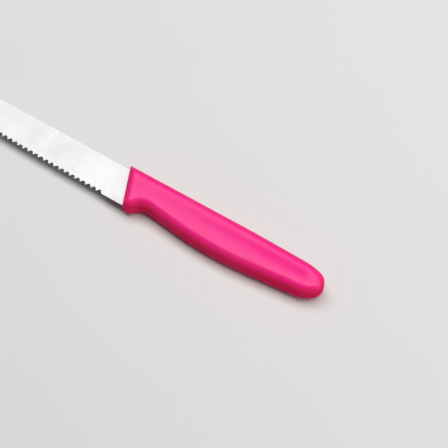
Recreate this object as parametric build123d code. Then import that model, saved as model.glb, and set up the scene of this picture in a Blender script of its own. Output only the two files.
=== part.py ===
from build123d import *
import os
from math import radians, sin, sqrt, tan, cos

# A tomato knife that lies on its right side: a stamped steel blade with a wavy edge and, moulded round its
# tang, a one-piece polypropylene handle. +X runs from the blade's tip to the handle's butt, +Y from the
# edge to the spine, and +Z up out of the blade's left side. Lengths are in millimetres, angles in degrees.
# Until the last step X starts at the front corner of the handle's spine, Y there too, and Z on the table.

# Handle, side view: places are distances back from the front, depths are distances below the spine
handle_length = 110.0
handle_thickness = 12.0
front_slant = 22.7
nub_place = 9.75
nub_depth = 19.7
nub_radius = 4.6
notch_depth = 15.15
notch_radius = 5.75
belly_front_slope = 7.0
belly_rear_slope = 5.2
belly_radius = 170.0
butt_radius = 6.2
butt_middle_depth = 7.4
butt_low_swell = 1.4
butt_low_radius = 14.5
butt_top_swell = 1.0
butt_top_radius = 33.0
spine_front_slope = 0.35
spine_rear_slope = 1.2
spine_radius = 900.0

# Handle, surfaces: the roll of its rims, the flat land along the spine and round the butt, and the swell that
# rises from the land to the full thickness. The land leaves the spine a little behind the front.
rim_round = 4.0
land_drop = 0.42
land_width = 1.0
land_butt_width = 2.2
land_start = 4.0
land_full_place = 20.0
land_bend = 40.0
swell_radius = 38.0
crest_turn = 0.8

# Blade: outline, stock and taper
blade_length = 110.0
spine_gap = 0.45
spine_slope = 0.3
heel_depth = 18.65
heel_length = 12.3
edge_end_depth = 15.6
tip_depth = 9.6
tip_spine_round = 20.0
tip_edge_round = 9.5
stock_thickness = 1.2
edge_thickness = 0.36

# Blade: waves that a tilted wheel grinds into the right side of the edge
wave_pitch = 3.08
wave_wheel_radius = 2.6
wave_wheel_tilt = 16.0
wave_width_share = 0.92
wave_stop = 3.5

# Tang inside the handle
root_length = 3.0
tang_length = 72.0
tang_top_depth = 4.6
tang_height = 9.6
tang_end_height = 7.2
tang_round = 1.5
tang_hole_count = 3
tang_hole_radius = 2.4
tang_first_hole = 10.0
tang_hole_pitch = 21.0

# One overrun for every cut
overrun = 2.0

# How full a quarter turn is, as a share of its reach, the most that a rounding takes of its wall, and the
# most that an upright face leans
quarter_share = 0.5523
rounding_share = 0.9
wall_lean_share = 0.05

# Derived sizes
half_thickness = handle_thickness / 2
half_stock = stock_thickness / 2
half_edge = edge_thickness / 2
taper = (half_stock - half_edge) / (heel_depth - spine_gap)
land_height = half_thickness - land_drop
rim_radius = min(rim_round, rounding_share * min(land_height, nub_radius, butt_radius))
swell_span = sqrt(swell_radius**2 - (swell_radius - land_drop) ** 2)

up = Vector(0, 1)
back = Vector(1, 0)
lift = Vector(0, 0, 1)


def on_front(depth):
    """Point of the handle's slanted front face at this depth below the spine."""
    return Vector(depth * tan(radians(front_slant)), -depth)


def heading(angle):
    """Unit vector at this angle from +X towards +Y."""
    return Vector(cos(radians(angle)), sin(radians(angle)))


def quarter_turn(start, start_way, end, end_way):
    """Curve like a quarter of an ellipse between two points that it leaves and reaches along given ways."""
    reach = end - start
    start_reach = abs(reach.dot(start_way)) * quarter_share
    end_reach = abs(reach.dot(end_way)) * quarter_share
    return Bezier(start, start + start_way * start_reach, end - end_way * end_reach, end)


def crossing(place, way, other_place, other_way):
    """Point where two straight lines meet, each given by a point and its way."""
    across = other_way.rotate(Axis.Z, 90)
    return place + way * ((other_place - place).dot(across) / way.dot(across))


def butt_ease(centre, way, inward, swell, radius):
    """Arc that leaves a straight run along the handle and runs smoothly into the butt's round end."""
    run = sqrt((radius - butt_radius) ** 2 - (radius - butt_radius - swell) ** 2)
    start = centre - inward * (butt_radius + swell) - way * run
    ease_centre = start + inward * radius
    seam = ease_centre + (centre - ease_centre).normalized() * radius
    return TangentArc(start, seam, tangent=way)


def handle_profile():
    """Side view: slanted front, round nub, finger notch, belly, round butt and nearly straight spine."""
    nub_centre = Vector(nub_place, nub_radius - nub_depth)
    down_front = on_front(nub_depth).normalized()
    along = nub_centre.dot(down_front)
    nub_start = down_front * (along + sqrt(nub_radius**2 - nub_centre.length**2 + along**2))

    notch_drop = -notch_depth - notch_radius
    between = nub_radius + notch_radius
    notch_place = nub_place + sqrt(between**2 - (notch_drop - nub_centre.Y) ** 2)
    notch_centre = Vector(notch_place, notch_drop)
    nub_end = nub_centre + (notch_centre - nub_centre).normalized() * nub_radius
    notch_end = notch_centre + heading(90 - belly_front_slope) * notch_radius
    notch_middle = (nub_end - notch_centre).normalized() + (notch_end - notch_centre).normalized()

    butt_centre = Vector(handle_length - butt_radius, -butt_middle_depth)
    low_way, low_inward = heading(belly_rear_slope), heading(90 + belly_rear_slope)
    top_way, top_inward = heading(-spine_rear_slope), heading(-90 - spine_rear_slope)
    low_ease = butt_ease(butt_centre, low_way, low_inward, butt_low_swell, butt_low_radius)
    top_ease = butt_ease(butt_centre, top_way, top_inward, butt_top_swell, butt_top_radius)
    belly_corner = crossing(notch_end, heading(-belly_front_slope), low_ease @ 0, low_way)
    spine_corner = crossing(Vector(0, 0), heading(spine_front_slope), top_ease @ 0, top_way)

    return make_face(
        [
            Line(Vector(0, 0), nub_start),
            ThreePointArc(nub_start, nub_centre - up * nub_radius, nub_end),
            ThreePointArc(nub_end, notch_centre + notch_middle.normalized() * notch_radius, notch_end),
            FilletPolyline(notch_end, belly_corner, low_ease @ 0, radius=belly_radius),
            low_ease,
            ThreePointArc(low_ease @ 1, butt_centre + back * butt_radius, top_ease @ 1),
            top_ease,
            FilletPolyline(top_ease @ 0, spine_corner, Vector(0, 0), radius=spine_radius),
        ]
    )


def rolled_plate(height):
    """The side view from the middle up to this height, with all its upper rims but the front's rolled over."""
    plate = extrude(handle_profile(), height)
    rims = plate.faces().filter_by(is_wall).edges().filter_by(lambda edge: edge.center().Z > half_stock)
    return plate.fillet(rim_radius, rims.filter_by(Axis.Z, reverse=True))


def beyond_swell():
    """All that lies outside the swell of the upper half. The swell's foot is the inner border of the land."""
    land_inset, butt_inset = rim_radius + land_width, rim_radius + land_butt_width
    start = Vector(land_start, overrun)
    full = Vector(land_full_place, -land_inset)
    corner = Vector(handle_length - butt_inset, -land_inset)
    turns = [land_bend, swell_span + crest_turn]
    path = FilletPolyline(start, full, corner, corner - up * nub_depth, radius=turns)
    outward = (full - start).normalized().rotate(Axis.Z, 90)
    foot = start + lift * land_height
    crest = start - outward * swell_span + lift * half_thickness
    centre = crest - lift * swell_radius
    middle = centre + ((foot + crest) / 2 - centre).normalized() * swell_radius
    far = start + outward * (land_inset + butt_inset)
    far_top, far_low = far + lift * (half_thickness + overrun), far - lift * overrun
    section = make_face(
        [
            ThreePointArc(foot, middle, crest),
            Polyline(crest, crest + lift * overrun, far_top, far_low, start - lift * overrun, foot),
        ]
    )
    return sweep(section, path=path)


def front_cut():
    """What the roll of the front rim takes off the upper half, along the slanted front."""
    down_front = on_front(nub_depth).normalized()
    inward = down_front.rotate(Axis.Z, 90)
    low = lift * (half_thickness - rim_radius) - down_front * overrun
    top = low + (inward + lift) * rim_radius
    middle = low + inward * rim_radius + (lift - inward).normalized() * rim_radius
    clear = low - inward * overrun
    section = make_face(
        [
            ThreePointArc(low, middle, top),
            Polyline(top, top + lift * overrun, clear + lift * (rim_radius + overrun), clear, low),
        ]
    )
    return extrude(section, on_front(nub_depth).length + 2 * overrun, dir=down_front)


def is_front(face):
    """True for the flat, slanted front face."""
    return face.geom_type == GeomType.PLANE and face.normal_at().X < -sin(radians(front_slant))


def is_wall(face):
    """True for an upright face other than the front."""
    return abs(face.normal_at(face.center()).Z) < wall_lean_share and not is_front(face)


def handle_body():
    """The moulding without the blade's place: a thinner plate for the land, the full plate where its side
    swells, and the rolled front rim, made for one half and joined to its mirror image."""
    swell = rolled_plate(half_thickness) - beyond_swell()
    half = rolled_plate(land_height) + swell - front_cut()
    body = half + mirror(half, about=Plane.XY)
    return body.moved(Pos(0, 0, half_thickness))


def handle(steel):
    """The handle: the moulding closes round the root and tang of the steel, and fills the tang's holes."""
    return (handle_body() - steel).solid()


def edge_curve():
    """Cutting edge seen from the side, from the plain heel to the tip: a long bow and a short round turn."""
    wave_start = Vector(on_front(heel_depth).X - heel_length, -heel_depth)
    turn_start = Vector(tip_edge_round - blade_length, -edge_end_depth)
    bow = TangentArc(wave_start, turn_start, tangent=back * -1)
    turn = quarter_turn(turn_start, (bow % 1).normalized(), Vector(-blade_length, -tip_depth), up)
    return [bow, turn]


def blade_profile():
    """Side view of the ground part: the blade with its round tip, and the root that the handle covers."""
    root_top = on_front(spine_gap) + back * root_length
    root_low = on_front(heel_depth) + back * root_length
    tip_way = heading(spine_slope) * -1
    spine_end = root_top + tip_way * (blade_length + root_top.X - tip_spine_round)
    bow, turn = edge_curve()
    return make_face(
        [
            Line(root_top, spine_end),
            quarter_turn(spine_end, tip_way, Vector(-blade_length, -tip_depth), up * -1),
            bow,
            turn,
            Line(bow @ 0, root_low),
            Line(root_low, root_top),
        ]
    )


def tang_profile():
    """Side view of the tang, narrower towards the butt, with its row of holes."""
    low_depth = tang_top_depth + tang_height
    start_top = on_front(tang_top_depth) + back * root_length
    start_low = on_front(low_depth) + back * root_length
    end_place = start_top.X + tang_length
    end_fall = (tang_height - tang_end_height) / 2
    end_top = Vector(end_place, start_top.Y - end_fall)
    end_low = Vector(end_place, start_low.Y + end_fall)
    face = make_face(Polyline(start_top, end_top, end_low, start_low, close=True))
    face = fillet(face.vertices().sort_by(Axis.X)[-2:], tang_round)
    middle = -tang_top_depth - tang_height / 2
    for number in range(tang_hole_count):
        hole_place = on_front(tang_top_depth).X + root_length + tang_first_hole + number * tang_hole_pitch
        face -= Pos(hole_place, middle) * Circle(tang_hole_radius)
    return face


def half_blade(depth):
    """Half the ground blade's thickness at this depth below the spine."""
    return half_edge + taper * (heel_depth - depth)


def taper_prism():
    """The wedge between the two flat grinds, thick along the spine and thin along the edge."""
    top, low = -overrun, heel_depth + overrun
    wedge = Polyline(
        (-top, half_blade(top)),
        (-top, -half_blade(top)),
        (-low, -half_blade(low)),
        (-low, half_blade(low)),
        close=True,
    )
    reach = blade_length + handle_length
    return extrude(Plane.YZ * make_face(wedge), reach, both=True)


def wave_cut(place, way):
    """One pass of the tilted wheel, at a place on the edge where the edge runs this way."""
    outward = way.rotate(Axis.Z, 90)
    tilt = radians(wave_wheel_tilt)
    chord = wave_width_share * wave_pitch / 2
    depth = (wave_wheel_radius - sqrt(wave_wheel_radius**2 - chord**2)) / sin(tilt)
    axis = outward * cos(tilt) + lift * sin(tilt)
    clear = outward * sin(tilt) - lift * cos(tilt)
    middle = place - outward * depth + lift * half_blade(-place.Y) + clear * wave_wheel_radius
    reach = depth + heel_depth / 2
    wheel = Plane(origin=middle - axis * reach, z_dir=axis)
    return wheel * Cylinder(wave_wheel_radius, 2 * reach, align=(Align.CENTER, Align.CENTER, Align.MIN))


def wave_cuts():
    """The row of waves along the edge, from the plain heel to just short of the tip."""
    edge = Wire(edge_curve())
    count = int((edge.length - wave_stop) / wave_pitch)
    shares = [(number + 0.5) * wave_pitch / edge.length for number in range(count)]
    return [wave_cut(edge @ share, edge % share) for share in shares]


def blade():
    """The blade with its hidden root and tang, one piece of stamped and ground steel."""
    steel = extrude(blade_profile(), half_stock, both=True) & taper_prism()
    for cut in wave_cuts():
        steel -= cut
    steel += extrude(tang_profile(), half_stock, both=True)
    return steel.solid().moved(Pos(0, 0, half_thickness))


def handle(steel):
    """The handle: the moulding closes round the root and tang of the steel, and fills the tang's holes."""
    return (handle_body() - steel).solid()


steel = blade()
pieces = {"blade": steel, "handle": handle(steel)}
whole = pieces["blade"].bounding_box().add(pieces["handle"].bounding_box())
origin = Pos(-whole.center().X, -whole.center().Y, -whole.min.Z)

os.makedirs("parts", exist_ok=True)
for name, piece in pieces.items():
    export_step(piece.moved(origin), "parts/" + name + ".step")
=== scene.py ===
from math import asin, atan, atan2, ceil, cos, pi, radians, sin, sqrt, tan

import bmesh
import bpy
from mathutils import Matrix, Vector
from mathutils.geometry import delaunay_2d_cdt, interpolate_bezier


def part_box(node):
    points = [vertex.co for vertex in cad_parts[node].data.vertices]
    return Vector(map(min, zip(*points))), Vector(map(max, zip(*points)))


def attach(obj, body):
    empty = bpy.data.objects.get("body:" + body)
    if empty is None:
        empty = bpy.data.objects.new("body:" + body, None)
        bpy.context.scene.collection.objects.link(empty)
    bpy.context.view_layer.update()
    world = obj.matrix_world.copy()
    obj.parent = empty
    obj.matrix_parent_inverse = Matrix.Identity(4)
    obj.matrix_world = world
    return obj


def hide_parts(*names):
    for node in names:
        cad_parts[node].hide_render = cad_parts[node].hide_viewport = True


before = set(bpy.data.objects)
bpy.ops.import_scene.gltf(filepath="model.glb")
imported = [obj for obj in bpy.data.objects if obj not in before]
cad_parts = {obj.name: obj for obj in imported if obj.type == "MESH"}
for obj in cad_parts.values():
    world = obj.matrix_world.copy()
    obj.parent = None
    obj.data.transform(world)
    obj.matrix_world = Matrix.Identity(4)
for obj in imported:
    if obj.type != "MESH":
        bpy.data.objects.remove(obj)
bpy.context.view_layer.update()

# Looks of a tomato knife: a satin steel blade with a wavy edge and a moulded pink handle. The outlines are
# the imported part's own, written in its datum: x back from the front corner of the handle's spine, y up from
# that corner, and z up from the middle of the knife's thickness. All lengths are in metres.

bl_info = {
    "name": "Tomato Knife",
    "version": (1, 0, 0),
    "blender": (4, 5, 0),
    "location": "View3D > Sidebar > Tomato Knife",
    "description": "Builds the looks of a tomato knife round its packed frame",
    "category": "Object",
}

MM = 0.001
HANDLE_LOW, HANDLE_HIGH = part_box("handle")
MIDDLE_Z = (HANDLE_LOW.z + HANDLE_HIGH.z) / 2

# How finely the handle is meshed: along its walls, over its flat sides and round its rims
WALL_STEP = 0.9 * MM
SIDE_STEP = 0.8 * MM
RIM_STEPS = 10

# How far the handle's spine runs past its front before it is cut off
FRONT_LEAD = 3.0 * MM

# Points nearer than this are merged
SAME_POINT = 1e-7

# Faces that turn by more than these angles meet in a crisp edge
HANDLE_CREASE = radians(40)
BLADE_CREASE = radians(14)


def length(name, description, default):
    """A length property, whose default is given in millimetres."""
    return bpy.props.FloatProperty(
        name=name, description=description, default=default * MM, unit="LENGTH", precision=5
    )


def angle(name, description, default):
    """An angle property, whose default is given in degrees."""
    return bpy.props.FloatProperty(
        name=name, description=description, default=radians(default), subtype="ANGLE", precision=4
    )


def share(name, description, default, high=1.0):
    """A plain number property from nought up to a highest value."""
    return bpy.props.FloatProperty(
        name=name, description=description, default=default, min=0.0, max=high, precision=4
    )


def colour(name, description, default):
    """A colour property in linear light."""
    return bpy.props.FloatVectorProperty(
        name=name, description=description, default=default, size=3, subtype="COLOR", min=0.0, max=1.0
    )


class HandleSizes(bpy.types.PropertyGroup):
    """Sizes of the moulded handle. Places run back from its front, depths down from its spine."""

    length: length("Length", "From the front corner of the spine to the butt", 110.0)
    thickness: length("Thickness", "From side to side", 12.0)
    front_slant: angle("Front slant", "Lean of the flat front face", 22.7)
    nub_place: length("Nub place", "Centre of the nub below the front", 9.75)
    nub_depth: length("Nub depth", "Lowest point of the nub", 19.7)
    nub_radius: length("Nub radius", "Round of the nub", 4.6)
    notch_depth: length("Notch depth", "Highest point of the finger notch", 15.15)
    notch_radius: length("Notch radius", "Round of the finger notch", 5.75)
    belly_front_slope: angle("Belly front slope", "Slope from the notch to the belly", 7.0)
    belly_rear_slope: angle("Belly rear slope", "Slope from the belly to the butt", 5.2)
    belly_radius: length("Belly radius", "Round of the belly", 170.0)
    butt_radius: length("Butt radius", "Round of the butt", 6.2)
    butt_depth: length("Butt depth", "Centre of the butt's round below the spine", 7.4)
    butt_low_swell: length("Butt low swell", "How far the belly's run passes the butt's round", 1.4)
    butt_low_radius: length("Butt low radius", "Easy round from the belly into the butt", 14.5)
    butt_top_swell: length("Butt top swell", "How far the spine's run passes the butt's round", 1.0)
    butt_top_radius: length("Butt top radius", "Easy round from the spine into the butt", 33.0)
    spine_front_slope: angle("Spine front slope", "Rise of the spine behind the front", 0.35)
    spine_rear_slope: angle("Spine rear slope", "Fall of the spine towards the butt", 1.2)
    spine_radius: length("Spine radius", "Easy round at the spine's peak", 900.0)
    rim_radius: length("Rim radius", "Roll between the sides and the belly's and front's walls", 4.0)
    spine_rim_radius: length("Spine rim radius", "Roll between the sides and the spine's wall", 3.4)
    mitre_ease: length("Mitre ease", "How softly the front's roll meets the others", 0.35)
    land_inset: length("Land inset", "Inner border of the flat land below the spine", 4.4)
    land_butt_inset: length("Land butt inset", "Inner border of the land ahead of the butt", 5.9)
    land_turn: length("Land turn", "Round of the land's border at the butt", 6.4)
    land_front_drop: length("Land front drop", "How low the land lies at the front", 0.1)
    land_rear_drop: length("Land rear drop", "How low the land lies near the butt", 0.5)
    swell_span: length("Swell span", "Width of the swell that rises from the land", 9.0)
    parting_width: length("Parting width", "Width of the mould's parting line", 0.16)


class BladeSizes(bpy.types.PropertyGroup):
    """Sizes of the steel blade and its hidden tang."""

    length: length("Length", "From the front corner of the handle's spine to the tip", 110.0)
    spine_gap: length("Spine gap", "How far the blade's spine lies below the handle's", 0.45)
    spine_slope: angle("Spine slope", "Fall of the spine towards the tip", 0.3)
    heel_depth: length("Heel depth", "Edge below the handle's spine at the heel", 18.65)
    heel_length: length("Heel length", "Plain edge ahead of the handle", 12.3)
    edge_end_depth: length("Edge end depth", "Edge below the handle's spine near the tip", 15.6)
    tip_depth: length("Tip depth", "Tip below the handle's spine", 9.6)
    tip_spine_round: length("Tip spine round", "Reach of the tip's round along the spine", 20.0)
    tip_edge_round: length("Tip edge round", "Reach of the tip's round along the edge", 9.5)
    stock: length("Stock", "Thickness of the steel", 1.2)
    edge: length("Edge", "Thickness left along the edge", 0.36)
    spine_ease: length("Spine ease", "Small round along the blade's spine", 0.14)
    wave_pitch: length("Wave pitch", "From one wave to the next", 3.08)
    wheel_radius: length("Wheel radius", "Radius of the wheel that grinds the waves", 2.6)
    wheel_tilt: angle("Wheel tilt", "Tilt of the grinding wheel", 16.0)
    wave_share: share("Wave share", "Width of a wave as a share of the pitch", 0.92)
    wave_stop: length("Wave stop", "Plain edge at the tip", 3.5)
    tool_length: length("Tool length", "Width of the wheel and length of the punch", 26.11)
    root_length: length("Root length", "Blade inside the handle", 3.0)
    tang_length: length("Tang length", "Tang behind the root", 72.0)
    tang_top_depth: length("Tang top depth", "Top of the tang below the spine", 4.6)
    tang_height: length("Tang height", "Height of the tang at the root", 9.6)
    tang_end_height: length("Tang end height", "Height of the tang at its end", 7.2)
    tang_round: length("Tang round", "Rounded corners of the tang's end", 1.5)
    tang_hole_radius: length("Tang hole radius", "Holes that the plastic fills", 2.4)
    tang_first_hole: length("First tang hole", "From the root to the first hole", 10.0)
    tang_hole_pitch: length("Tang hole pitch", "From one hole to the next", 21.0)
    tang_hole_count: bpy.props.IntProperty(
        name="Tang holes", description="Number of holes in the tang", default=3, min=0
    )


class Finishes(bpy.types.PropertyGroup):
    """Colours and finishes of the two materials."""

    plastic: colour("Plastic", "Colour of the handle's flat sides", (0.95, 0.02, 0.275))
    # Painted shade: the deeper, redder colour given to the upright walls stands in for the shade they lie in;
    # the plastic itself is one pink.
    plastic_painted_shade: colour("Plastic, deep", "Colour of its upright walls", (0.78, 0.0, 0.08))
    plastic_roughness: share("Plastic roughness", "Satin of the handle's flat sides", 0.22)
    wall_roughness: share("Wall roughness", "What the coarser grain of its upright walls adds", 0.75)
    plastic_glow: share("Plastic glow", "How much light spreads inside the plastic", 0.5)
    steel: colour("Steel", "Colour of the blade", (0.645, 0.645, 0.65))
    steel_roughness: share("Steel roughness", "Satin of the ground steel", 0.55)


class Stage(bpy.types.PropertyGroup):
    """Floor, lamps and camera."""

    floor: colour("Floor", "Colour of the floor", (0.73, 0.72, 0.715))
    backdrop: colour("Backdrop", "What the camera sees past the floor", (0.76, 0.755, 0.75))
    floor_radius: length("Floor radius", "Radius of the floor", 6000.0)
    sky: colour("Sky", "Colour of the even light", (0.97, 0.985, 1.0))
    ambient: share("Ambient", "Strength of the even light", 0.045, 4.0)
    side_light: share("Side light", "Strength added on the camera's left and right", 0.16, 4.0)
    softbox_power: share("Softbox power", "Power of the overhead softbox in watts", 19.8, 200.0)
    softbox_height: length("Softbox height", "Height of the overhead softbox", 1200.0)
    softbox_length: length("Softbox length", "Length of the softbox along the knife", 2100.0)
    softbox_near: angle("Softbox near side", "Reach towards the edge, from straight above the knife", 6.0)
    softbox_far: angle("Softbox far side", "Reach towards the spine, from straight above the knife", 28.0)
    right_power: share("Right power", "Power of the low lamp behind the butt in watts", 3.5, 200.0)
    right_place: length("Right place", "From the camera's target to that lamp, along the floor", 1200.0)
    right_height: length("Right height", "Height of that lamp", 500.0)
    right_size: length("Right size", "Width and depth of that lamp", 500.0)
    camera_azimuth: angle("Camera azimuth", "Turn of the camera round the knife", 31.76)
    camera_elevation: angle("Camera elevation", "Height of the camera above the floor", 62.0)
    camera_distance: length("Camera distance", "From the camera to its target", 700.0)
    target_place: length("Target place", "Camera target, back from the handle's front", 51.85)
    target_height: length("Target height", "Camera target above the handle's spine", 0.8)
    lens: bpy.props.FloatProperty(
        name="Lens", description="Focal length of the camera in millimetres", default=118.76, min=1.0
    )


def heading(direction):
    """Unit vector in the plane of the side view at this angle from +x."""
    return Vector((cos(direction), sin(direction)))


def quarter_left(way):
    """The way turned a quarter turn to the left."""
    return Vector((-way.y, way.x))


def heading_of(way):
    """Angle of a way from +x."""
    return atan2(way.y, way.x)


def on_front(depth, slant):
    """Point of the slanted front at this depth below the spine."""
    return Vector((depth * tan(slant), -depth))


def crossing(place, way, other_place, other_way):
    """Point where two straight lines meet, each given by a point and its way."""
    across = quarter_left(other_way)
    return place + way * ((other_place - place).dot(across) / way.dot(across))


# Handle: its wall seen from the side, as samples of a point and the way into the plastic


def straight(start, end, inward, step):
    """Samples along a straight wall, without its last point."""
    count = max(1, ceil((end - start).length / step))
    return [(start.lerp(end, number / count), inward) for number in range(count)]


def bend(centre, radius, first, last, step, hollow=False):
    """Samples along a round wall, without its last point. A hollow one bulges into the plastic."""
    widest_turn = radians(7)
    count = max(2, ceil(abs(last - first) * radius / step), ceil(abs(last - first) / widest_turn))
    samples = []
    for number in range(count):
        out = heading(first + (last - first) * number / count)
        samples.append((centre + out * radius, out if hollow else -out))
    return samples


def butt_ease(sizes, centre, way, inward, swell, radius):
    """Start and centre of the arc that leaves a straight run and joins the butt's round."""
    gap = radius - sizes.butt_radius
    run = sqrt(gap**2 - (gap - swell) ** 2)
    start = centre - inward * (sizes.butt_radius + swell) - way * run
    return start, start + inward * radius


def handle_wall(sizes, step, lead):
    """The wall from the front corner round the spine, butt, belly, notch and nub. Both its ends run on past
    the flat front: the spine's by this lead, and the nub's by three times as much, because its rim leans
    back."""
    nub = Vector((sizes.nub_place, sizes.nub_radius - sizes.nub_depth))
    between = sizes.nub_radius + sizes.notch_radius
    notch_y = -sizes.notch_depth - sizes.notch_radius
    notch = Vector((nub.x + sqrt(between**2 - (notch_y - nub.y) ** 2), notch_y))
    down_front = on_front(1.0, sizes.front_slant).normalized()
    along = nub.dot(down_front)
    nub_start = down_front * (along + sqrt(sizes.nub_radius**2 - nub.length_squared + along**2))

    butt = Vector((sizes.length - sizes.butt_radius, -sizes.butt_depth))
    low_way, top_way = heading(sizes.belly_rear_slope), heading(-sizes.spine_rear_slope)
    low_start, low_centre = butt_ease(
        sizes, butt, low_way, quarter_left(low_way), sizes.butt_low_swell, sizes.butt_low_radius
    )
    top_start, top_centre = butt_ease(
        sizes, butt, top_way, -quarter_left(top_way), sizes.butt_top_swell, sizes.butt_top_radius
    )
    front_way, belly_way = heading(sizes.spine_front_slope), heading(-sizes.belly_front_slope)
    origin = Vector((0.0, 0.0))
    spine_corner = crossing(origin, front_way, top_start, top_way)
    spine_reach = sizes.spine_radius * tan((sizes.spine_front_slope + sizes.spine_rear_slope) / 2)
    spine_first = spine_corner - front_way * spine_reach
    spine_last = spine_corner + top_way * spine_reach
    spine_centre = spine_first - quarter_left(front_way) * sizes.spine_radius

    notch_end = notch + quarter_left(belly_way) * sizes.notch_radius
    belly_corner = crossing(notch_end, belly_way, low_start, low_way)
    belly_reach = sizes.belly_radius * tan((sizes.belly_front_slope + sizes.belly_rear_slope) / 2)
    belly_rear = belly_corner + low_way * belly_reach
    belly_front = belly_corner - belly_way * belly_reach
    belly_centre = belly_rear + quarter_left(low_way) * sizes.belly_radius

    up = pi / 2
    top_seam, low_seam = heading_of(butt - top_centre), heading_of(butt - low_centre)
    nub_seam = heading_of(notch - nub)
    nub_last = heading_of(nub_start - nub) - (2 * pi if nub_start.y > nub.y else 0.0)
    run_out = -quarter_left(heading(nub_last)) * lead * 3
    wall = straight(origin - front_way * lead, spine_first, -quarter_left(front_way), step)
    spine_turn = (up + sizes.spine_front_slope, up - sizes.spine_rear_slope)
    wall += bend(spine_centre, sizes.spine_radius, *spine_turn, step)
    wall += straight(spine_last, top_start, -quarter_left(top_way), step)
    wall += bend(top_centre, sizes.butt_top_radius, up - sizes.spine_rear_slope, top_seam, step)
    wall += bend(butt, sizes.butt_radius, top_seam, low_seam, step)
    wall += bend(low_centre, sizes.butt_low_radius, low_seam, sizes.belly_rear_slope - up, step)
    wall += straight(low_start, belly_rear, quarter_left(low_way), step)
    belly_turn = (sizes.belly_rear_slope - up, -up - sizes.belly_front_slope)
    wall += bend(belly_centre, sizes.belly_radius, *belly_turn, step)
    wall += straight(belly_front, notch_end, quarter_left(belly_way), step)
    wall += bend(notch, sizes.notch_radius, up - sizes.belly_front_slope, nub_seam + pi, step, hollow=True)
    wall += bend(nub, sizes.nub_radius, nub_seam, nub_last, step)
    wall += straight(nub_start, nub_start + run_out, -heading(nub_last), step)
    wall.append((nub_start + run_out, -heading(nub_last)))
    return wall


def ease(place):
    """A smooth step from nought to one."""
    place = min(1.0, max(0.0, place))
    return place * place * (3 - 2 * place)


def side_height(sizes, point):
    """Height of the side above the knife's middle: full on the swell, lower on the land along the spine and
    round the butt, and lower towards the butt."""
    corner_x = sizes.length - sizes.land_butt_inset - sizes.land_turn
    across, along = point.y + sizes.land_inset + sizes.land_turn, point.x - corner_x
    if along <= 0:
        reach = across - sizes.land_turn
    elif across <= 0:
        reach = along - sizes.land_turn
    else:
        reach = Vector((across, along)).length - sizes.land_turn
    rise = min(1.0, max(0.0, -reach / sizes.swell_span))
    deeper = (sizes.land_rear_drop - sizes.land_front_drop) * ease(point.x / corner_x)
    drop = (sizes.land_front_drop + deeper) * (1 - rise) ** 4 * (1 + 4 * rise)
    return sizes.thickness / 2 - drop


def front_height(sizes, point):
    """Height above the knife's middle up to which the front's rolled rim reaches."""
    behind = point.x * cos(sizes.front_slant) + point.y * sin(sizes.front_slant)
    left = min(sizes.rim_radius, max(0.0, sizes.rim_radius - behind))
    return sizes.thickness / 2 - sizes.rim_radius + sqrt(sizes.rim_radius**2 - left**2)


def rim_section(sizes, point, inward):
    """Depth into the plastic and height of each point from the wall's middle over the rolled rim. The roll
    ends where it meets the side's own lean, which a few tries find."""
    radius = sizes.spine_rim_radius + (sizes.rim_radius - sizes.spine_rim_radius) * ease(inward.y / 2 + 0.5)
    tries, nudge, lean = 3, 0.05 * MM, 0.0
    for _ in range(tries):
        contact = radius * (1 - sin(lean))
        rise = side_height(sizes, point + inward * (contact + nudge))
        rise -= side_height(sizes, point + inward * (contact - nudge))
        lean = atan(rise / (2 * nudge))
    contact = radius * (1 - sin(lean))
    centre = side_height(sizes, point + inward * contact) - radius * cos(lean)
    section = [(0.0, 0.0), (0.0, centre / 2)]
    for number in range(RIM_STEPS + 1):
        swing = (pi / 2 - lean) * number / RIM_STEPS
        section.append((radius * (1 - cos(swing)), centre + radius * sin(swing)))
    return section


def inside(point, outline):
    """True for a point inside a closed outline."""
    hits = False
    for number, end in enumerate(outline):
        start = outline[number - 1]
        if (start.y > point.y) != (end.y > point.y):
            across = start.x + (point.y - start.y) / (end.y - start.y) * (end.x - start.x)
            hits = hits != (point.x < across)
    return hits


def side_net(outline):
    """Triangles that fill an outline, with even points inside it: their points and corners."""
    row_step, border = SIDE_STEP * 0.866, SIDE_STEP * 0.6
    points = list(outline)
    xs, ys = [p.x for p in outline], [p.y for p in outline]
    low = Vector((min(xs), min(ys)))
    for row in range(int((max(ys) - low.y) / row_step) + 1):
        for column in range(int((max(xs) - low.x) / SIDE_STEP) + 2):
            point = low + Vector(((column + 0.5 * (row % 2)) * SIDE_STEP, (row + 0.5) * row_step))
            if inside(point, outline) and min((point - p).length for p in outline) > border:
                points.append(point)
    loop = [(number, (number + 1) % len(outline)) for number in range(len(outline))]
    inside_only, tolerance = 1, 1e-9
    net = delaunay_2d_cdt(points, loop, [], inside_only, tolerance)
    return net[0], net[2]


def handle_skin(sizes):
    """The handle's skin, a little longer than the handle at its front, where it is still open."""
    mesh = bmesh.new()
    columns = []
    for point, inward in handle_wall(sizes, WALL_STEP, FRONT_LEAD):
        section = rim_section(sizes, point, inward)
        both = [(depth, -height) for depth, height in reversed(section[1:])] + section
        places = [(point + inward * depth, height) for depth, height in both]
        columns.append([mesh.verts.new((place.x, place.y, height)) for place, height in places])
    for near, far in zip(columns, columns[1:]):
        for corners in zip(near, far, far[1:], near[1:]):
            mesh.faces.new(corners)
    outline = [column[-1].co.to_2d() for column in columns]
    points, corners = side_net(outline)
    for sign in (1, -1):
        corner_verts = [mesh.verts.new((p.x, p.y, sign * side_height(sizes, p))) for p in points]
        for corner in corners:
            mesh.faces.new([corner_verts[number] for number in corner])
    bmesh.ops.remove_doubles(mesh, verts=mesh.verts, dist=SAME_POINT)
    bmesh.ops.recalc_face_normals(mesh, faces=mesh.faces)
    return mesh


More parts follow.
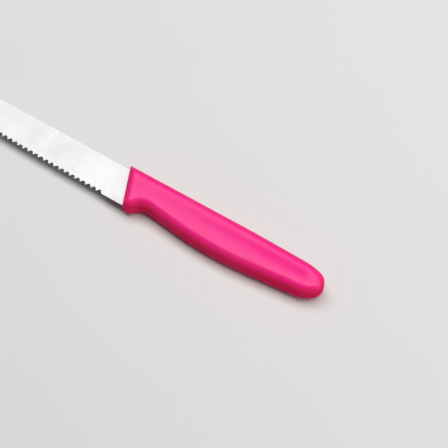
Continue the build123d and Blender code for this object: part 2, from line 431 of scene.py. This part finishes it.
def cut_front(mesh, sizes):
    """Cuts the skin off along the flat front, slices it behind for the rim, rolls that over and closes it."""
    out = Vector((-cos(sizes.front_slant), -sin(sizes.front_slant), 0.0))
    slices, turn = 14, radians(6.5)
    for number in range(slices + 1):
        everything = mesh.verts[:] + mesh.edges[:] + mesh.faces[:]
        plane = {"plane_co": out * -sizes.rim_radius * (1 - cos(number * turn)), "plane_no": out}
        bmesh.ops.bisect_plane(mesh, geom=everything, dist=SAME_POINT, clear_outer=number == 0, **plane)
    for vert in mesh.verts:
        height, limit = abs(vert.co.z), front_height(sizes, vert.co)
        soft = max(1e-9, sizes.mitre_ease * min(1.0, (sizes.thickness / 2 - height) / MM))
        over = max(0.0, height - limit + soft) / soft
        height -= soft * (over**2 / 4 if over < 2 else over - 1)
        vert.co.z = height if vert.co.z > 0 else -height
    rim = [edge for edge in mesh.edges if edge.is_boundary]
    bmesh.ops.contextual_create(mesh, geom=rim)
    bmesh.ops.triangulate(mesh, faces=[f for f in mesh.faces if len(f.verts) > 4])
    bmesh.ops.recalc_face_normals(mesh, faces=mesh.faces)


# Blade


def blade_edge(blade, slant):
    """Points of the cutting edge from the heel to the tip: a long bow and a short round turn."""
    start = Vector((on_front(blade.heel_depth, slant).x - blade.heel_length, -blade.heel_depth))
    end = Vector((blade.tip_edge_round - blade.length, -blade.edge_end_depth))
    chord = end - start
    radius = chord.length_squared / (2 * chord.y)
    centre = start + Vector((0.0, radius))
    sweep, steps = asin(-chord.x / radius), 60
    points = [centre + heading(-pi / 2 - sweep * number / steps) * radius for number in range(steps + 1)]
    tip = Vector((-blade.length, -blade.tip_depth))
    return points + quarter_turn(end, heading(pi - sweep), tip, Vector((0.0, 1.0)))[1:]


def quarter_turn(start, start_way, end, end_way):
    """Points of a curve like a quarter of an ellipse, which leaves and reaches its ends along given ways."""
    fullness, count = 0.5523, 28
    first = start + start_way * abs((end - start).dot(start_way)) * fullness
    last = end - end_way * abs((end - start).dot(end_way)) * fullness
    handles = [point.to_3d() for point in (start, first, last, end)]
    return [point.to_2d() for point in interpolate_bezier(*handles, count)]


def blade_taper(blade):
    """How much the half thickness grows for each metre above the edge."""
    return (blade.stock - blade.edge) / 2 / (blade.heel_depth - blade.spine_gap)


def blade_outline(blade, slant):
    """Closed outline of the ground blade and its root, and how many of its first points are the spine's."""
    back = Vector((blade.root_length, 0.0))
    root_top = on_front(blade.spine_gap, slant) + back
    root_low = on_front(blade.heel_depth, slant) + back
    tip_way = -heading(blade.spine_slope)
    spine_end = root_top + tip_way * (blade.length + root_top.x - blade.tip_spine_round)
    tip = Vector((-blade.length, -blade.tip_depth))
    spine = [root_top] + quarter_turn(spine_end, tip_way, tip, Vector((0.0, -1.0)))
    edge = blade_edge(blade, slant)
    return spine + edge[-2::-1] + [root_low], len(spine)


def tang_outline(blade, slant):
    """Closed outline of the tang, which starts a little inside the root."""
    low_depth = blade.tang_top_depth + blade.tang_height
    fall = (blade.tang_height - blade.tang_end_height) / 2
    lap = Vector((blade.root_length * 0.6, 0.0))
    corner_steps = 6
    top, low = on_front(blade.tang_top_depth, slant), on_front(low_depth, slant)
    end = top.x + blade.root_length + blade.tang_length
    r = blade.tang_round
    outline = [low + lap]
    for centre_y, first in ((low.y + fall + r, -pi / 2), (top.y - fall - r, 0.0)):
        for number in range(corner_steps + 1):
            way = heading(first + pi / 2 * number / corner_steps)
            outline.append(Vector((end - r, centre_y)) + way * r)
    return outline + [top + lap]


def plate(mesh, outline, height):
    """Adds a closed plate with this outline, whose half thickness at a point is height(point)."""
    top = [mesh.verts.new((p.x, p.y, height(p))) for p in outline]
    low = [mesh.verts.new((p.x, p.y, -height(p))) for p in outline]
    mesh.faces.new(top)
    mesh.faces.new(low[::-1])
    for number in range(len(outline)):
        mesh.faces.new((top[number - 1], low[number - 1], low[number], top[number]))
    return top, low


def blade_blank(blade, slant):
    """The steel before its waves and holes are made, with the line of its edge as loose edges."""
    mesh = bmesh.new()
    taper = blade_taper(blade)
    outline, spine_count = blade_outline(blade, slant)
    top, low = plate(mesh, outline, lambda p: blade.edge / 2 + taper * (blade.heel_depth + p.y))
    rims = []
    for row in (top[:spine_count], low[:spine_count]):
        rims += [mesh.edges.get(pair) for pair in zip(row, row[1:])]
    bmesh.ops.bevel(mesh, geom=rims, offset=blade.spine_ease, segments=3, affect="EDGES", profile=0.5)
    bmesh.ops.remove_doubles(mesh, verts=mesh.verts, dist=SAME_POINT)
    plate(mesh, tang_outline(blade, slant), lambda p: blade.stock / 2)
    bmesh.ops.recalc_face_normals(mesh, faces=mesh.faces)
    line = [mesh.verts.new((p.x, p.y, 0.0)) for p in blade_edge(blade, slant)]
    for pair in zip(line, line[1:]):
        mesh.edges.new(pair)
    return mesh


# Geometry Nodes for the waves and the tang's holes


class Tree:
    """Short calls to add and join the nodes of one node tree."""

    def __init__(self, tree):
        self.tree = tree
        self.count = 0

    def node(self, kind, inputs=(), **settings):
        """Adds a node and sets it up."""
        node = self.tree.nodes.new(kind)
        node.location = (220 * (self.count % 9), -260 * (self.count // 9))
        self.count += 1
        for name, value in settings.items():
            setattr(node, name, value)
        self.put(node, dict(inputs))
        return node

    def add(self, kind, inputs=(), **settings):
        """Adds a node and gives its first output."""
        return self.node(kind, inputs, **settings).outputs[0]

    def put(self, node, inputs):
        """Joins or sets a node's inputs, each by name or number."""
        for name, value in inputs.items():
            if isinstance(value, bpy.types.NodeSocket):
                self.tree.links.new(value, node.inputs[name])
            else:
                node.inputs[name].default_value = value

    def math(self, operation, *values):
        """A Math node's result."""
        return self.add("ShaderNodeMath", dict(enumerate(values)), operation=operation)

    def vector(self, operation, *values, **named):
        """A Vector Math node's result."""
        inputs = dict(enumerate(values)) | named
        return self.add("ShaderNodeVectorMath", inputs, operation=operation)

    def scaled(self, way, size):
        """A way times a number."""
        return self.vector("SCALE", way, Scale=size)

    def joined(self, *parts):
        """A vector of these parts."""
        return self.add("ShaderNodeCombineXYZ", dict(enumerate(parts)))

    def part(self, vector, axis):
        """One part of a vector."""
        return self.node("ShaderNodeSeparateXYZ", {0: vector}).outputs[axis]

    def placed(self, group, inputs):
        """The outputs of a shader group that is placed here with its own values."""
        return self.node("ShaderNodeGroup", inputs, node_tree=group).outputs

    def noise(self, place, scale, detail, **more):
        """Cloudy noise at a place."""
        inputs = {"Vector": place, "Scale": scale, "Detail": detail} | more
        return self.add("ShaderNodeTexNoise", inputs)

    def ramp(self, value, low, high):
        """A value's place between two bounds, from nought to one."""
        return self.add("ShaderNodeMapRange", {"Value": value, "From Min": low, "From Max": high})

    def mix(self, factor, first, second):
        """Two colours mixed by a factor."""
        inputs = {"Factor": factor, "A": first, "B": second}
        for name in ("A", "B"):
            if not isinstance(inputs[name], bpy.types.NodeSocket):
                inputs[name] = (*inputs[name], 1.0)
        return self.node("ShaderNodeMix", inputs, data_type="RGBA").outputs["Result"]

    def relief(self, height, strength, distance):
        """A surface's normal with this height as fine relief."""
        inputs = {"Height": height, "Strength": strength, "Distance": distance}
        return self.add("ShaderNodeBump", inputs)


def new_group(name, kind, inputs, outputs):
    """A node group, the calls that fill it and its inputs. An input is given by its default, or by its kind
    where it has none, and an output by its kind."""
    group = bpy.data.node_groups.new(name, kind)
    numbers = {int: "NodeSocketInt", float: "NodeSocketFloat"}
    for label, value in inputs.items():
        socket_type = numbers.get(type(value), value)
        socket = group.interface.new_socket(label, in_out="INPUT", socket_type=socket_type)
        if type(value) in numbers:
            socket.default_value = value
    for label, socket_type in outputs.items():
        group.interface.new_socket(label, in_out="OUTPUT", socket_type=socket_type)
    tree = Tree(group)
    return group, tree, tree.node("NodeGroupInput").outputs


def grinding_tree(sizes):
    """Geometry Nodes that grind a row of waves along the loose edge line and punch the tang's holes. Their
    inputs have the names and defaults of these sizes."""
    steel = {"Steel": "NodeSocketGeometry"}
    inputs = steel | {"Finish": "NodeSocketMaterial"} | sizes
    group, tree, given = new_group("ground_waves", "GeometryNodeTree", inputs, steel)

    # The loose edges, joined and turned to start at the heel, with a place for each wave
    face_count = tree.add("GeometryNodeInputMeshEdgeNeighbors")
    is_line = tree.math("LESS_THAN", face_count, 0.5)
    parts = tree.node(
        "GeometryNodeSeparateGeometry", {"Geometry": given["Steel"], "Selection": is_line}, domain="EDGE"
    ).outputs
    line = tree.add("GeometryNodeMeshToCurve", {"Mesh": parts["Selection"]})
    edge_length = tree.add("GeometryNodeCurveLength", {"Curve": line})
    ends = []
    for factor in (0.0, 1.0):
        end = tree.node("GeometryNodeSampleCurve", {"Curves": line, "Factor": factor}).outputs["Position"]
        ends.append(tree.part(end, "X"))
    starts_at_tip = tree.math("LESS_THAN", *ends)
    line = tree.add("GeometryNodeReverseCurve", {"Curve": line, "Selection": starts_at_tip})
    ground_length = tree.math("SUBTRACT", edge_length, given["Wave Stop"])
    count = tree.math("FLOOR", tree.math("DIVIDE", ground_length, given["Wave Pitch"]))
    index = tree.add("GeometryNodeInputIndex")
    along = tree.math("MULTIPLY", tree.math("ADD", index, 0.5), given["Wave Pitch"])
    on_line = tree.node("GeometryNodeSampleCurve", {"Curves": line, "Length": along}, mode="LENGTH").outputs
    place, way = on_line["Position"], on_line["Tangent"]

    # A tilted wheel at each place
    up = tree.joined(0.0, 0.0, 1.0)
    out = tree.vector("CROSS_PRODUCT", up, way)
    lean, drop = tree.math("COSINE", given["Wheel Tilt"]), tree.math("SINE", given["Wheel Tilt"])
    axis = tree.vector("ADD", tree.scaled(out, lean), tree.scaled(up, drop))
    clear = tree.vector("SUBTRACT", tree.scaled(out, drop), tree.scaled(up, lean))
    chord = tree.math("MULTIPLY", tree.math("MULTIPLY", given["Wave Share"], given["Wave Pitch"]), 0.5)
    square = tree.math("MULTIPLY", given["Wheel Radius"], given["Wheel Radius"])
    rest = tree.math("SQRT", tree.math("SUBTRACT", square, tree.math("MULTIPLY", chord, chord)))
    depth = tree.math("DIVIDE", tree.math("SUBTRACT", given["Wheel Radius"], rest), drop)
    above_heel = tree.math("SUBTRACT", tree.part(place, "Y"), given["Heel Height"])
    half = tree.math("ADD", given["Edge Half"], tree.math("MULTIPLY", given["Taper"], above_heel))
    centre = tree.vector("SUBTRACT", place, tree.scaled(out, depth))
    centre = tree.vector("ADD", centre, tree.scaled(up, half))
    centre = tree.vector("ADD", centre, tree.scaled(clear, given["Wheel Radius"]))
    axes = {"Primary Axis": axis, "Secondary Axis": way}
    turn = tree.add("FunctionNodeAxesToRotation", axes, primary_axis="Z", secondary_axis="X")
    spots = tree.add("GeometryNodePoints", {"Count": count, "Position": centre})
    wheel = {"Vertices": 96, "Radius": given["Wheel Radius"], "Depth": given["Tool Length"]}
    wheel = tree.add("GeometryNodeMeshCylinder", wheel)
    wheels = tree.add("GeometryNodeInstanceOnPoints", {"Points": spots, "Instance": wheel, "Rotation": turn})

    # The punches, then the cut
    first = tree.joined(given["Hole Place"], given["Hole Height"])
    step = tree.joined(given["Hole Pitch"])
    row = {"Count": given["Hole Count"], "Start Location": first, "Offset": step}
    row = tree.add("GeometryNodeMeshLine", row, mode="OFFSET")
    punch = {"Vertices": 48, "Radius": given["Hole Radius"], "Depth": given["Tool Length"]}
    punch = tree.add("GeometryNodeMeshCylinder", punch)
    punches = tree.add("GeometryNodeInstanceOnPoints", {"Points": row, "Instance": punch})
    tools = tree.node("GeometryNodeJoinGeometry", {0: wheels})
    tree.put(tools, {0: punches})
    cutters = tree.add("GeometryNodeRealizeInstances", {"Geometry": tools.outputs[0]})
    cut = {"Mesh 1": parts["Inverted"], "Mesh 2": cutters, "Self Intersection": True}
    cut = tree.add("GeometryNodeMeshBoolean", cut, operation="DIFFERENCE", solver="EXACT")
    whole = tree.add("GeometryNodeRealizeInstances", {"Geometry": cut})
    done = tree.add("GeometryNodeSetMaterial", {"Geometry": whole, "Material": given["Finish"]})
    tree.node("NodeGroupOutput", {"Steel": done})
    return group


def set_modifier(modifier, values):
    """Sets the inputs of a Geometry Nodes modifier by their sockets' identifiers."""
    for item in modifier.node_group.interface.items_tree:
        if item.name in values:
            modifier[item.identifier] = values[item.name]


# Shader groups and materials


def hairlines_group():
    """Fine straight lines, as a grinding belt or a wiping cloth leaves them."""
    if "hairlines" in bpy.data.node_groups:
        return bpy.data.node_groups["hairlines"]
    sizes = {"Across": 9000.0, "Along": 60.0, "Turn": 0.0, "Sharpness": 0.5}
    group, tree, given = new_group("hairlines", "ShaderNodeTree", sizes, {"Lines": "NodeSocketFloat"})
    place = tree.node("ShaderNodeTexCoord").outputs["Object"]
    turned = {"Vector": place, "Angle": given["Turn"]}
    turned = tree.add("ShaderNodeVectorRotate", turned, rotation_type="Z_AXIS")
    stretch = tree.joined(given["Across"], given["Along"], given["Along"])
    ground = tree.vector("MULTIPLY", turned, stretch)
    fine = tree.noise(ground, 1.0, 3.0, Roughness=0.6)
    wide = tree.noise(tree.scaled(ground, 0.23), 1.0, 2.0)
    both = tree.math("ADD", fine, tree.math("MULTIPLY", wide, 0.6))
    low = tree.math("MULTIPLY", given["Sharpness"], 0.9)
    tree.node("NodeGroupOutput", {"Lines": tree.ramp(both, low, 1.25)})
    return group


def handling_group():
    """Where hands and cloths have left a surface a little duller: broad soft patches and small flecks."""
    if "handling" in bpy.data.node_groups:
        return bpy.data.node_groups["handling"]
    sizes = {"Patch Scale": 60.0, "Fleck Scale": 900.0, "Fleck Share": 0.3}
    masks = {"Patches": "NodeSocketFloat", "Flecks": "NodeSocketFloat"}
    group, tree, given = new_group("handling", "ShaderNodeTree", sizes, masks)
    place = tree.node("ShaderNodeTexCoord").outputs["Object"]
    patches = tree.ramp(tree.noise(place, given["Patch Scale"], 4.0, Roughness=0.55), 0.35, 0.68)
    least = tree.math("SUBTRACT", 1.0, given["Fleck Share"])
    flecks = tree.ramp(tree.noise(place, given["Fleck Scale"], 2.0), least, 0.95)
    tree.node("NodeGroupOutput", {"Patches": patches, "Flecks": flecks})
    return group


def new_material(name):
    """A material with an empty tree, the calls that fill it and its Principled BSDF."""
    material = bpy.data.materials.new(name)
    material.use_nodes = True
    material.node_tree.nodes.clear()
    tree = Tree(material.node_tree)
    shader = tree.node("ShaderNodeBsdfPrincipled")
    tree.node("ShaderNodeOutputMaterial", {"Surface": shader.outputs[0]})
    return material, tree, shader


def satin_steel(finish):
    """Ground stainless steel: fine lines across the blade, duller where it was handled."""
    material, tree, shader = new_material("satin_steel")
    lines = tree.placed(hairlines_group(), {"Across": 9000.0, "Along": 90.0})["Lines"]
    handling = tree.placed(handling_group(), {"Patch Scale": 75.0, "Fleck Scale": 1400.0})
    rough = tree.math("MULTIPLY_ADD", lines, 0.1, finish.steel_roughness - 0.05)
    rough = tree.math("MULTIPLY_ADD", handling["Patches"], 0.05, rough)
    rough = tree.math("MULTIPLY_ADD", handling["Flecks"], 0.06, rough)
    darker = [0.93 * part for part in finish.steel]
    surface = {
        "Base Color": tree.mix(tree.math("MULTIPLY", lines, 0.4), finish.steel, darker),
        "Roughness": rough,
        "Metallic": 1.0,
        "Normal": tree.relief(lines, 0.3, 0.006 * MM),
    }
    tree.put(shader, surface)
    return material


def moulded_plastic(finish, sizes):
    """Satin polypropylene: a finely grained skin, coarser on the upright walls, where a deeper colour is
    painted as shade, with light that spreads inside, faint scuffs and the mould's parting line."""
    material, tree, shader = new_material("moulded_plastic")
    place = tree.node("ShaderNodeTexCoord").outputs["Object"]
    flatness = tree.node("ShaderNodeAttribute", attribute_name="flatness").outputs["Fac"]
    patches = tree.placed(handling_group(), {"Patch Scale": 48.0, "Fleck Scale": 1100.0})["Patches"]
    scratches = {"Across": 2600.0, "Along": 45.0, "Turn": 1.2, "Sharpness": 0.95}
    scuffs = tree.math("MULTIPLY", tree.placed(hairlines_group(), scratches)["Lines"], flatness)

    off_middle = tree.math("ABSOLUTE", tree.math("SUBTRACT", tree.part(place, "Z"), MIDDLE_Z))
    parting = {"Value": off_middle, "From Max": sizes.parting_width / 2, "To Min": 1.0, "To Max": 0.0}
    parting = tree.add("ShaderNodeMapRange", parting, interpolation_type="SMOOTHSTEP")
    grain = tree.noise(place, 3800.0, 3.0, Roughness=0.6)
    skin = tree.math("MULTIPLY_ADD", parting, 1.6, grain)
    skin = tree.math("MULTIPLY_ADD", scuffs, -0.3, skin)
    skin = tree.math("MULTIPLY_ADD", tree.noise(place, 140.0, 2.0), 1.5, skin)

    # Painted shade: as the faces turn upright and flatness falls, the colour is mixed towards the deeper wall
    # colour, which stands in for the shade on the walls.
    body = tree.mix(tree.math("POWER", flatness, 2.2), finish.plastic_painted_shade, finish.plastic)
    paler = [part + (0.93 - part) * 0.06 for part in finish.plastic]
    pale = tree.math("MULTIPLY_ADD", scuffs, 0.06, tree.math("MULTIPLY", patches, 0.1))
    rough = tree.math("MULTIPLY_ADD", patches, 0.06, finish.plastic_roughness - 0.03)
    rough = tree.math("MULTIPLY_ADD", grain, 0.05, rough)
    rough = tree.math("MULTIPLY_ADD", scuffs, 0.08, rough)
    coarser = tree.math("MULTIPLY_ADD", flatness, -finish.wall_roughness, finish.wall_roughness)
    surface = {
        "Base Color": tree.mix(pale, body, paler),
        "Roughness": tree.math("ADD", rough, coarser),
        "Normal": tree.relief(skin, 0.5, 0.02 * MM),
        "Specular IOR Level": 0.25,
        "Subsurface Weight": finish.plastic_glow,
        "Subsurface Radius": (1.0, 0.05, 0.12),
        "Subsurface Scale": 2.0 * MM,
    }
    tree.put(shader, surface)
    return material


def plain_floor(stage):
    """Pale matt floor, hardly clouded."""
    material, tree, shader = new_material("pale_floor")
    place = tree.node("ShaderNodeTexCoord").outputs["Object"]
    darker = [part * 0.985 for part in stage.floor]
    lighter = [min(1.0, part * 1.015) for part in stage.floor]
    clouded = tree.mix(tree.noise(place, 7.0, 3.0), darker, lighter)
    tree.put(shader, {"Base Color": clouded, "Roughness": 0.85, "Specular IOR Level": 0.2})
    return material


# Pieces and stage


def datum_shift():
    """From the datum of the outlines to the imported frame."""
    handle = bpy.context.scene.handle_sizes
    spine_top = max(point.y for point, _ in handle_wall(handle, WALL_STEP / 2, FRONT_LEAD))
    return Matrix.Translation((HANDLE_LOW.x, HANDLE_HIGH.y - spine_top, MIDDLE_Z))


def new_object(name, data):
    """A new object of this data, put in the scene."""
    thing = bpy.data.objects.new(name, data)
    bpy.context.scene.collection.objects.link(thing)
    return thing


def mesh_object(name, mesh):
    """A new object made from a mesh, which is then freed."""
    data = bpy.data.meshes.new(name)
    mesh.to_mesh(data)
    mesh.free()
    return new_object(name, data)


def finished_piece(name, mesh, material, crease):
    """A smooth-shaded object of a mesh, with a crisp edge where two faces turn by more than the crease."""
    mesh.normal_update()
    for face in mesh.faces:
        face.smooth = True
    for edge in mesh.edges:
        edge.smooth = len(edge.link_faces) == 2 and edge.calc_face_angle(pi) < crease
    flatness = mesh.verts.layers.float.new("flatness")
    for vert in mesh.verts:
        vert[flatness] = abs(vert.normal.z)
    piece = mesh_object(name, mesh)
    piece.data.materials.append(material)
    return piece


class KNIFE_OT_handle(bpy.types.Operator):
    """Makes the moulded handle"""

    bl_idname = "tomato_knife.handle"
    bl_label = "Handle"

    def execute(self, context):
        sizes = context.scene.handle_sizes
        mesh = handle_skin(sizes)
        cut_front(mesh, sizes)
        mesh.transform(datum_shift())
        if any(edge.is_boundary for edge in mesh.edges):
            raise RuntimeError("the handle's skin isn't closed")
        material = moulded_plastic(context.scene.finishes, sizes)
        piece = finished_piece("pink_handle", mesh, material, HANDLE_CREASE)
        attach(piece, "root")
        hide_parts("handle")
        return {"FINISHED"}


class KNIFE_OT_blade(bpy.types.Operator):
    """Makes the blade with its waves and tang"""

    bl_idname = "tomato_knife.blade"
    bl_label = "Blade"

    def execute(self, context):
        blade = context.scene.blade_sizes
        slant = context.scene.handle_sizes.front_slant
        shift = datum_shift()
        mesh = blade_blank(blade, slant)
        mesh.transform(shift)
        blank = mesh_object("blade_blank", mesh)
        material = satin_steel(context.scene.finishes)
        hole_x = on_front(blade.tang_top_depth, slant).x + blade.root_length + blade.tang_first_hole
        hole_y = -blade.tang_top_depth - blade.tang_height / 2
        hole = shift @ Vector((hole_x, hole_y, 0.0))
        sizes = {
            "Wave Pitch": blade.wave_pitch,
            "Wheel Radius": blade.wheel_radius,
            "Wheel Tilt": blade.wheel_tilt,
            "Wave Share": blade.wave_share,
            "Wave Stop": blade.wave_stop,
            "Edge Half": blade.edge / 2,
            "Taper": blade_taper(blade),
            "Heel Height": (shift @ Vector((0.0, -blade.heel_depth, 0.0))).y,
            "Hole Count": blade.tang_hole_count,
            "Hole Radius": blade.tang_hole_radius,
            "Hole Place": hole.x,
            "Hole Height": hole.y,
            "Hole Pitch": blade.tang_hole_pitch,
            "Tool Length": blade.tool_length,
        }
        modifier = blank.modifiers.new("grinding", "NODES")
        modifier.node_group = grinding_tree(sizes)
        set_modifier(modifier, sizes | {"Finish": material})
        graph = context.evaluated_depsgraph_get()
        cut = bpy.data.meshes.new_from_object(blank.evaluated_get(graph))
        bpy.data.objects.remove(blank)
        mesh = bmesh.new()
        mesh.from_mesh(cut)
        bmesh.ops.remove_doubles(mesh, verts=mesh.verts, dist=SAME_POINT)
        bmesh.ops.triangulate(mesh, faces=[face for face in mesh.faces if len(face.verts) > 4])
        piece = finished_piece("steel_blade", mesh, material, BLADE_CREASE)
        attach(piece, "root")
        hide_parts("blade")
        return {"FINISHED"}


def area_lamp(name, place, aim, size, power, across):
    """A rectangular lamp at a place, facing a point, with its width along a way."""
    data = bpy.data.lights.new(name, "AREA")
    data.shape, data.energy = "RECTANGLE", power
    data.size, data.size_y = size
    back = (place - aim).normalized()
    side = (across - back * across.dot(back)).normalized()
    turn = Matrix((side, back.cross(side), back)).transposed()
    new_object(name, data).matrix_world = Matrix.Translation(place) @ turn.to_4x4()


def studio_world(stage, right):
    """Even light, brighter on the camera's left and right, with a plain pale backdrop for the camera."""
    world = bpy.data.worlds.new("studio")
    world.use_nodes = True
    world.node_tree.nodes.clear()
    tree = Tree(world.node_tree)
    way = tree.node("ShaderNodeTexCoord").outputs["Generated"]
    facing = tree.node("ShaderNodeVectorMath", {0: way, 1: right}, operation="DOT_PRODUCT").outputs[1]
    sides = tree.math("MULTIPLY", tree.math("MULTIPLY", facing, facing), stage.side_light)
    strength = tree.math("ADD", sides, stage.ambient)
    light = tree.add("ShaderNodeBackground", {"Color": (*stage.sky, 1.0), "Strength": strength})
    shown = tree.add("ShaderNodeBackground", {"Color": (*stage.backdrop, 1.0), "Strength": 1.0})
    camera_ray = tree.node("ShaderNodeLightPath").outputs["Is Camera Ray"]
    pick = tree.add("ShaderNodeMixShader", {0: camera_ray, 1: light, 2: shown})
    tree.node("ShaderNodeOutputWorld", {"Surface": pick})
    bpy.context.scene.world = world


class KNIFE_OT_stage(bpy.types.Operator):
    """Makes the floor, the lamps and the camera"""

    bl_idname = "tomato_knife.stage"
    bl_label = "Stage"

    def execute(self, context):
        stage = context.scene.stage
        shift = datum_shift()
        turn, rise = stage.camera_azimuth, stage.camera_elevation
        near = Vector((sin(turn), -cos(turn), 0.0))
        right = Vector((cos(turn), sin(turn), 0.0))
        back = near * cos(rise) + Vector((0.0, 0.0, sin(rise)))
        target = shift @ Vector((stage.target_place, stage.target_height, 0.0))
        target.z = 0.0

        mesh = bmesh.new()
        bmesh.ops.create_circle(mesh, cap_ends=True, segments=96, radius=stage.floor_radius)
        ground = mesh_object("floor", mesh)
        ground.data.materials.append(plain_floor(stage))

        along, up = Vector((1.0, 0.0, 0.0)), Vector((0.0, 0.0, 1.0))
        height = stage.softbox_height
        low, high = -height * tan(stage.softbox_near), height * tan(stage.softbox_far)
        softbox = target + Vector((0.0, (low + high) / 2, height))
        size = (stage.softbox_length, high - low)
        area_lamp("overhead_softbox", softbox, softbox - up, size, stage.softbox_power, along)
        low_lamp = target + along * stage.right_place + up * stage.right_height
        area_lamp("right_lamp", low_lamp, target, [stage.right_size] * 2, stage.right_power, near)
        studio_world(stage, right)

        data = bpy.data.cameras.new("photo_camera")
        data.lens, data.sensor_width = stage.lens, 36.0
        data.clip_start, data.clip_end = 0.01, 30.0
        camera = new_object("photo_camera", data)
        frame_axes = Matrix((right, back.cross(right), back)).transposed()
        camera.matrix_world = Matrix.Translation(target + back * stage.camera_distance) @ frame_axes.to_4x4()
        context.scene.camera = camera
        context.scene.view_settings.view_transform = "Standard"
        return {"FINISHED"}


class VIEW3D_PT_tomato_knife(bpy.types.Panel):
    """Sidebar panel with the knife's pieces and their sizes"""

    bl_idname = "VIEW3D_PT_tomato_knife"
    bl_label = "Tomato Knife"
    bl_space_type = "VIEW_3D"
    bl_region_type = "UI"
    bl_category = "Tomato Knife"

    def draw(self, context):
        for name in GROUPS:
            group = getattr(context.scene, name)
            box = self.layout.box()
            if name in STEPS:
                box.operator(STEPS[name].bl_idname)
            for setting in group.bl_rna.properties.keys():
                if setting not in ("rna_type", "name"):
                    box.prop(group, setting)


GROUPS = {"handle_sizes": HandleSizes, "blade_sizes": BladeSizes, "finishes": Finishes, "stage": Stage}
STEPS = {"handle_sizes": KNIFE_OT_handle, "blade_sizes": KNIFE_OT_blade, "stage": KNIFE_OT_stage}
CLASSES = [*GROUPS.values(), *STEPS.values(), VIEW3D_PT_tomato_knife]


def register():
    for item in CLASSES:
        bpy.utils.register_class(item)
    for name, group in GROUPS.items():
        setattr(bpy.types.Scene, name, bpy.props.PointerProperty(type=group))


def unregister():
    for name in GROUPS:
        delattr(bpy.types.Scene, name)
    for item in reversed(CLASSES):
        bpy.utils.unregister_class(item)


def main():
    """Builds every piece and the stage."""
    register()
    bpy.ops.tomato_knife.handle()
    bpy.ops.tomato_knife.blade()
    bpy.ops.tomato_knife.stage()


if __name__ == "__main__":
    main()
